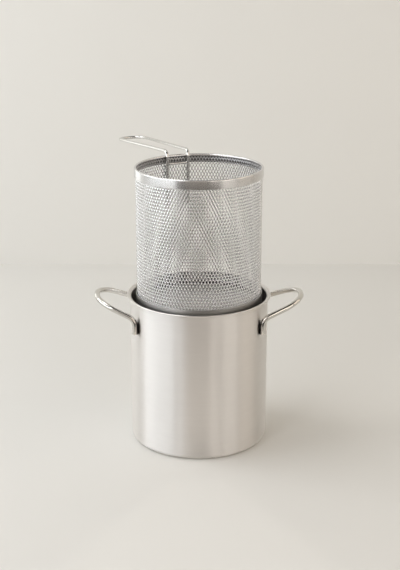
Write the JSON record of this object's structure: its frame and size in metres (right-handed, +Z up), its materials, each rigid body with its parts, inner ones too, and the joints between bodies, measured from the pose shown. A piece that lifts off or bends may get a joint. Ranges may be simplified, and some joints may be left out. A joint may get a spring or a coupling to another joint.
{
  "type": "deep fry pot",
  "caption": "Tall straight-sided steel pot with a flared lip and loop handles, holding a raised lift-out basket of expanded metal with a rim band and a bent wire grip.",
  "frame": {"origin": "Middle of the pot's flat underside, on the surface that it stands on.", "axes": "+Z is up along the pot's axis, X runs through the two loop handles, and -Y is the front. The basket's grip points back and a little to the left."},
  "size_m": [0.2432, 0.3127, 0.3323],
  "materials": {
    "satin_steel": "satin",
    "polished_steel": "polished",
    "mesh_steel": "satin"
  },
  "bodies": {
    "pot": {"pot_shell": "satin_steel", "left_handle": "polished_steel", "right_handle": "polished_steel"},
    "basket": {"basket_wall": "mesh_steel", "basket_floor": "mesh_steel", "basket_rim_band": "satin_steel", "basket_base_ring": "satin_steel", "basket_grip": "polished_steel", "grip_brace": "polished_steel"}
  },
  "joints": [
    {"name": "basket_lift", "type": "slide", "parent": "pot", "child": "basket", "axis": [0, 0, 1], "range_m": [-0.151, 0.06]}
  ]
}
